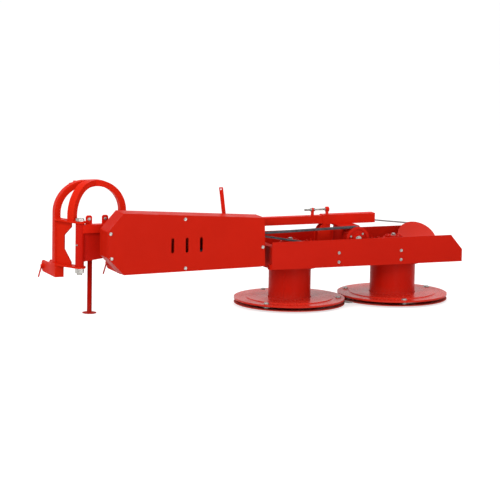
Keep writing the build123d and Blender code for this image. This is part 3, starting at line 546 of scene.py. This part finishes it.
drum_seam_angle = {"inner": -128, "outer": -62}
drum_shell_radius = {"inner": 0.142, "outer": 0.153}
drum_height = 0.208
for side, middle in drum_middles.items():
    foot_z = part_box(f"rotor_disc_{side}")[1].z
    flange_z = foot_z + drum_height
    radius = drum_shell_radius[side]
    tacks = [ring_run(middle, radius, foot_z, turn, turn + 24) for turn in range(0, 360, 36)]
    tacks += [ring_run(middle, radius, flange_z, turn, turn + 20) for turn in range(0, 360, 60)]
    weld(f"drum_welds_{side}", f"drum_{side}", tacks, 0.004, drum_paint)
    seam = math.radians(drum_seam_angle[side])
    seam_x, seam_y = middle.x + radius * math.cos(seam), middle.y + radius * math.sin(seam)
    seam_run = [Vector((seam_x, seam_y, foot_z + 0.006)), Vector((seam_x, seam_y, flange_z - 0.004))]
    weld(f"drum_seam_{side}", f"drum_{side}", [seam_run], 0.0022, drum_paint)


# ---- Beam, adjusting screw, lever, tube and posts -----------------------------------------------
# Square tubes that slide one in the other, with welded lugs, a flat lever bar and a short tube on
# top, all in the same enamel. That enamel is painted paler than the panels' enamel as painted light
# against the shade the beam stands in. A zinc-plated screw with two nuts sets how far they slide.

# Painted light: this enamel is paler than the panels' (0.72 against 0.61) to make up for the beam's shade.
beam_paint_brightened_for_shade = paint("beam enamel brightened for shade", (0.72, 0.016, 0.005), shine=0.03)
dress(["inner_beam", "outer_beam", "lever_bar", "top_tube", "post_plates"], beam_paint_brightened_for_shade)
beam_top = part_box("inner_beam")[1].z
outer_beam_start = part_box("outer_beam")[0].x
screw_low, screw_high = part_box("adjusting_screw")
screw_y = (screw_low.y + screw_high.y) / 2
screw_z = (screw_low.z + screw_high.z) / 2

thread_tree, thread_in, thread_end = geometry_tree("screw thread", [
    ("Thread radius", "NodeSocketFloat", 0.0062),
    ("Wire radius", "NodeSocketFloat", 0.0008),
    ("Length", "NodeSocketFloat", 0.05),
    ("Turns", "NodeSocketFloat", 25.0),
    ("Material", "NodeSocketMaterial", None),
])
helix = thread_tree.nodes.new("GeometryNodeCurveSpiral")
helix.inputs["Resolution"].default_value = 12
link(thread_tree, thread_in["Turns"], helix.inputs["Rotations"])
link(thread_tree, thread_in["Thread radius"], helix.inputs["Start Radius"])
link(thread_tree, thread_in["Thread radius"], helix.inputs["End Radius"])
link(thread_tree, thread_in["Length"], helix.inputs["Height"])
wire = thread_tree.nodes.new("GeometryNodeCurvePrimitiveCircle")
wire.inputs["Resolution"].default_value = 4
link(thread_tree, thread_in["Wire radius"], wire.inputs["Radius"])
swept = thread_tree.nodes.new("GeometryNodeCurveToMesh")
swept.inputs["Fill Caps"].default_value = True
link(thread_tree, helix.outputs[0], swept.inputs["Curve"])
link(thread_tree, wire.outputs[0], swept.inputs["Profile Curve"])
along_x = thread_tree.nodes.new("FunctionNodeAlignRotationToVector")
along_x.axis = "Z"
along_x.inputs["Vector"].default_value = (1, 0, 0)
thread_at = thread_tree.nodes.new("GeometryNodeInstanceOnPoints")
link(thread_tree, thread_in["Geometry"], thread_at.inputs["Points"])
link(thread_tree, swept.outputs[0], thread_at.inputs["Instance"])
link(thread_tree, along_x.outputs[0], thread_at.inputs["Rotation"])
link(thread_tree, thread_at.outputs[0], thread_end)
thread_starts = (screw_low.x + 0.002, screw_high.x - 0.066)
thread = grown(
    "adjusting_screw_thread", [Vector((x, screw_y, screw_z)) for x in thread_starts], [], thread_tree,
    {"Length": 0.044, "Turns": 25.0, "Material": zinc},
)
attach(thread, "frame")

boss_outline = [(0, 0.013), (0.003, 0.0175), (0.023, 0.0175), (0.026, 0.013)]
outer_lug = Vector((outer_beam_start + 0.040, screw_y, screw_z))
lathe(
    "screw_end_boss", outer_lug - 0.013 * outward, outward,
    boss_outline, beam_paint_brightened_for_shade, "frame", 24,
)
nut_outline = [(0, 0.0105), (0.0015, 0.0122), (0.0085, 0.0122), (0.010, 0.0105)]
inner_lug = Vector((outer_beam_start - 0.066, screw_y, screw_z))
for number, offset in enumerate((-0.0165, 0.0065), 1):
    lathe(
        f"screw_nut_{number}", inner_lug + offset * outward, outward,
        nut_outline, zinc, "frame", 6,
    )


# ---- Web plate, pivot tube, power take-off bearing, sleeve and stand ----------------------------
# A deep web plate stiffens the beam's inner end. It carries the upright pivot tube, greased by a
# nipple, the bearing of the drive shaft and the sleeve in which the stand slides.

web_paint = paint("web enamel", (0.62, 0.011, 0.0045), roughness=0.42)
dress(["arm_web", "pivot_tube", "pto_bearing", "stand_sleeve"], web_paint)
stand_paint = paint("stand enamel", (0.46, 0.006, 0.002), dust=0.25, roughness=0.38, shine=0.01)
dress(["parking_stand"], stand_paint)
tube_low, tube_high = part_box("pivot_tube")
tube_middle = (tube_low + tube_high) / 2
tube_radius = (tube_high.x - tube_low.x) / 2
web_low, web_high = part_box("arm_web")
web_weld_start = web_low.z + 0.004
weld("pivot_tube_welds", "frame", [
    [Vector((web_low.x, y, web_weld_start)), Vector((web_low.x, y, web_high.z))]
    for y in (web_low.y, web_high.y)
], 0.0035, web_paint)
stitch_length, stitch_pitch = 0.05, 0.09
stitch_starts = [web_low.x + 0.01 + stitch_pitch * step for step in range(7)]
weld("web_to_beam_welds", "frame", [
    [Vector((x, web_low.y, web_high.z)), Vector((x + stitch_length, web_low.y, web_high.z))]
    for x in stitch_starts
], 0.0035, web_paint)
post_low, post_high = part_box("post_plates")
post_weld = [
    Vector((post_low.x + 0.04, post_low.y, post_high.z)),
    Vector((post_high.x - 0.004, post_low.y, post_high.z)),
]
weld("post_welds", "frame", [post_weld], 0.0035, beam_paint_brightened_for_shade)

nipple_way = Vector((-0.83, -0.55, 0)).normalized()
nipple_outline = [
    (-0.001, 0.0055), (0.004, 0.0055), (0.005, 0.0035), (0.010, 0.003), (0.011, 0.0042),
    (0.014, 0.0042), (0.016, 0.0022),
]
nipple_foot = tube_middle + nipple_way * tube_radius
lathe("grease_nipple", nipple_foot, nipple_way, nipple_outline, zinc, "frame")

lug_pitch = 0.111
first_lug = Vector((tube_middle.x + 0.068, tube_middle.y + 0.015, beam_top - 0.024))
lug_bolts = [(first_lug + along * outward, rearward) for along in (0.0, lug_pitch)]
bolts("beam_lug_bolts", "frame", lug_bolts, 0.009, 0.008)


# ---- Belt drive ---------------------------------------------------------------------------------
# Three moulded rubber belts run from the grooved drive pulley to the gearbox pulley over two
# rollers. The rubber is dull black, with greyer, smoother patches at random where it has worn; their
# blue-grey colour is partly wear and partly a painted sheen.

rubber = bpy.data.materials.new("belt rubber")
rubber.use_nodes = True
tree = rubber.node_tree
shader = tree.nodes["Principled BSDF"]
place = object_place(tree)
worn = spread(tree, noise(tree, place, 26.0, 5.0, 0.7), 0.35, 0.7, 0.0, 1.0)
# The blue-grey patch colour is partly wear and partly a painted sheen on the rubber.
wear_and_sheen_colour = blend_colours(tree, worn, (0.018, 0.018, 0.02, 1), (0.075, 0.085, 0.10, 1))
link(tree, wear_and_sheen_colour, shader.inputs["Base Color"])
link(tree, spread(tree, worn, 0, 1, 0.62, 0.45), shader.inputs["Roughness"])
shader.inputs["Specular IOR Level"].default_value = 0.2
relief = tree.nodes.new("ShaderNodeBump")
relief.inputs["Strength"].default_value = 0.5
relief.inputs["Distance"].default_value = 0.0004
link(tree, noise(tree, place, 600.0, 2.0), relief.inputs["Height"])
link(tree, relief.outputs["Normal"], shader.inputs["Normal"])
rubber.diffuse_color = (0.03, 0.03, 0.03, 1)
dress(["drive_belts", "belt_runs", "belt_bends"], rubber)
pulley_paint = paint("pulley enamel", (0.62, 0.013, 0.005), peel=0.9)
dress(["gearbox_pulley", "drive_pulley"], pulley_paint)
pulley_low, pulley_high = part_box("gearbox_pulley")
pulley_middle = (pulley_low + pulley_high) / 2
pulley_nose = Vector((pulley_middle.x, pulley_low.y, pulley_middle.z))
bolts("pulley_nut", "input_pulley", [(pulley_nose, rearward)], 0.018, 0.014)
pulley_face = pulley_nose + 0.019 * forward
hub_bolts = circle_places(pulley_face, 0.05, 3, 40, outward, upward, rearward)
bolts("pulley_face_bolts", "input_pulley", hub_bolts, 0.006, 0.005)


# ---- Guard --------------------------------------------------------------------------------------
# A box of folded sheet with clipped corners, open at its outer end, held by five bolts. Plain
# upright slots in its rear face let the belts' warmth out.

guard_paint = paint("guard enamel", (0.60, 0.0145, 0.0045), drift=0.14, skin=0.0006, shine=0.03)
dress(["guard_cover", "guard_back", "guard_brackets"], guard_paint)
guard_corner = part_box("guard_cover")[0]
guard_bolt_places = ((0.018, 0.275), (0.026, 0.112), (0.533, 0.352), (0.538, 0.028), (1.082, 0.146))
guard_bolts = [
    (guard_corner + along * outward + above * upward, rearward) for along, above in guard_bolt_places
]
bolts("guard_bolts", "frame", guard_bolts, 0.009, 0.0075)


# ---- Swath disc, its arm and the tie rod --------------------------------------------------------
# A dished disc turns freely on a stub arm from the front panel and throws the outer edge of the
# swath clear. A plain steel rod ties the beam's end to the panel.

swath_paint = paint("swath disc enamel", (0.66, 0.026, 0.012), roughness=0.45, shine=0.2)
dress(["swath_disc", "swath_arm"], swath_paint)
dress(["tie_rod"], rod_steel)
swath_joint = next(joint for joint in frame["joints"] if joint["name"] == "swath_disc_spin")
swath_middle, swath_axis = Vector(swath_joint["pos_m"]), Vector(swath_joint["axis"])
hub_face = max(
    (vertex.co - swath_middle).dot(swath_axis) for vertex in nodes["swath_disc"].data.vertices
    if (vertex.co - swath_middle).cross(swath_axis).length < 0.03
)
bolts("swath_hub_bolt", "swath_wheel", [(swath_middle + swath_axis * hub_face, swath_axis)], 0.012, 0.010)


# ---- Hitch frame --------------------------------------------------------------------------------
# A hoop of bent rectangular tube on two clevises, braced by a third bent leg, with ears and a pin
# for the top link. Two plates and a notched web carry the upright pivot pin.

hitch_paint = paint("hitch enamel", (0.72, 0.019, 0.005), roughness=0.38, shine=0.02)
dress([
    "hitch_hoop", "top_link_ears", "hitch_back_leg", "hitch_plates", "hitch_web", "link_clevises",
    "link_pins",
], hitch_paint)
hoop_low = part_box("hitch_hoop")[0]
hoop_face_x = hoop_low.x + 0.040
notch_low, notch_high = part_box("hitch_web")
notch_x = notch_low.x + 0.004
plates_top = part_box("hitch_plates")[1].z
notch_weld = [Vector((notch_x, notch_high.y, z)) for z in (notch_low.z + 0.01, notch_high.z - 0.01)]
hoop_welds = [
    [Vector((x, hoop_low.y, z)) for x in (hoop_low.x, hoop_face_x)] for z in (plates_top, notch_low.z)
]
weld("hitch_welds", "hitch", [notch_weld, *hoop_welds], 0.004, hitch_paint)

clevis_low, clevis_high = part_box("link_clevises")
clevis_width = 0.061
cap_depth = 0.004
box_faces = ((0, 1, 2, 3), (7, 6, 5, 4), (0, 4, 5, 1), (1, 5, 6, 2), (2, 6, 7, 3), (3, 7, 4, 0))
cap_points, cap_faces = [], []
for left in (clevis_low.x, clevis_high.x - clevis_width):
    first = len(cap_points)
    right = left + clevis_width
    for y in (clevis_low.y - cap_depth, clevis_low.y):
        cap_points += [
            (left, y, clevis_low.z), (right, y, clevis_low.z),
            (right, y, clevis_high.z), (left, y, clevis_high.z),
        ]
    cap_faces += [tuple(first + index for index in face) for face in box_faces]
mesh_piece("clevis_caps", cap_points, cap_faces, hitch_paint, "hitch")

ears_low, ears_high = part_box("top_link_ears")
ring_middle = Vector((
    ears_low.x - 0.014, (ears_low.y + ears_high.y) / 2 + 0.009, ears_high.z - 0.034,
))
ring_radius, wire_radius = 0.019, 0.0021
ring_sideways, ring_axis = Vector((0.82, -0.57, 0)), Vector((0.57, 0.82, 0))
around, across = 28, 8
ring_points, ring_faces = [], []
for step in range(around):
    turn = 2 * math.pi * step / around
    spoke = math.cos(turn) * ring_sideways + math.sin(turn) * upward
    for cross in range(across):
        wire_turn = 2 * math.pi * cross / across
        out = spoke * (ring_radius + wire_radius * math.cos(wire_turn))
        ring_points.append(ring_middle + out + ring_axis * wire_radius * math.sin(wire_turn))
        here, ahead = step * across, (step + 1) % around * across
        beside = (cross + 1) % across
        ring_faces.append((here + cross, here + beside, ahead + beside, ahead + cross))
mesh_piece("linch_ring", ring_points, ring_faces, zinc, "hitch")


# ---- Floor, light and camera --------------------------------------------------------------------
# A plain pale floor under a bright sky, dimmer on one side. Four soft lamps light the machine: a
# strong one from the hitch's end, a fill, a low one for the discs and one overhead.

whole_low, whole_high = Vector(cad_box[0]), Vector(cad_box[1])
floor_mesh = bpy.data.meshes.new("floor")
reach = 60.0
corners = [(-reach, -reach, 0), (reach, -reach, 0), (reach, reach, 0), (-reach, reach, 0)]
floor_mesh.from_pydata(corners, [], [(0, 1, 2, 3)])
floor = bpy.data.objects.new("floor", floor_mesh)
floor.location.z = whole_low.z - 0.0005
bpy.context.scene.collection.objects.link(floor)


def seen_background(tree):
    """One for rays that see or mirror the background, and nought for the rest."""
    rays = tree.nodes.new("ShaderNodeLightPath").outputs
    mirrored = maths(tree, "MAXIMUM", rays["Is Glossy Ray"], rays["Is Transmission Ray"])
    return maths(tree, "MAXIMUM", rays["Is Camera Ray"], mirrored)


floor_material = bpy.data.materials.new("pale floor")
floor_material.use_nodes = True
tree = floor_material.node_tree
shader = tree.nodes["Principled BSDF"]
shader.inputs["Base Color"].default_value = (0.52, 0.52, 0.52, 1)
shader.inputs["Roughness"].default_value = 0.9
shader.inputs["Specular IOR Level"].default_value = 0.1
shader.inputs["Emission Color"].default_value = (1, 1, 1, 1)
link(tree, scaled(tree, seen_background(tree), 0.68), shader.inputs["Emission Strength"])
floor_mesh.materials.append(floor_material)

world = bpy.data.worlds.new("sky")
bpy.context.scene.world = world
world.use_nodes = True
tree = world.node_tree
sky = tree.nodes["Background"]
sky.inputs["Color"].default_value = (1, 1, 1, 1)
way = tree.nodes.new("ShaderNodeSeparateXYZ")
link(tree, tree.nodes.new("ShaderNodeTexCoord").outputs["Generated"], way.inputs[0])
toward = maths(tree, "ADD", way.outputs["Y"], scaled(tree, way.outputs["Z"], 0.6))
bright_side = spread(tree, toward, -0.4, 0.35, 0.3, 1.0)
strength = maths(tree, "MULTIPLY", bright_side, spread(tree, seen_background(tree), 0, 1, 0.75, 1.0))
rays = tree.nodes.new("ShaderNodeLightPath").outputs
link(tree, maths(tree, "MAXIMUM", strength, rays["Is Camera Ray"]), sky.inputs["Strength"])


def lamp(name, place, size, power, target):
    """A square soft lamp aimed at a point."""
    data = bpy.data.lights.new(name, "AREA")
    data.shape = "SQUARE"
    data.size = size
    data.energy = power
    light = bpy.data.objects.new(name, data)
    light.location = place
    light.rotation_euler = (target - Vector(place)).to_track_quat("-Z", "Y").to_euler()
    bpy.context.scene.collection.objects.link(light)


middle = (whole_low + whole_high) / 2
discs = Vector((middle.x + 0.5, middle.y, 0.05))
lamp("key", (-6.0, -4.2, 3.8), 3.5, 265, middle)
lamp("fill", (2.0, -6.0, 3.0), 4.0, 95, middle)
lamp("low", (0.4, -5.0, 0.35), 1.0, 28, discs)
lamp("top", (0.5, 0.3, 5.5), 5.0, 115, middle)

azimuth, elevation, roll = (math.radians(angle) for angle in (-22.013, 8.94, 1.06))
distance = 20.286
aim = Vector((middle.x + 0.0591, middle.y + 0.2481, 0.3329))
level_right = Vector((math.cos(azimuth), math.sin(azimuth), 0))
back = Vector((
    math.sin(azimuth) * math.cos(elevation), -math.cos(azimuth) * math.cos(elevation), math.sin(elevation),
))
level_up = back.cross(level_right)
right = level_right * math.cos(roll) + level_up * math.sin(roll)
up = back.cross(right)
camera_data = bpy.data.cameras.new("camera")
camera_data.sensor_width = 36.0
camera_data.lens = 215.73
camera_data.clip_end = 200
camera = bpy.data.objects.new("camera", camera_data)
camera_turn = Matrix((right, up, back)).transposed().to_4x4()
camera.matrix_world = Matrix.Translation(aim + back * distance) @ camera_turn
bpy.context.scene.collection.objects.link(camera)
bpy.context.scene.camera = camera
bpy.context.scene.view_settings.view_transform = "Standard"
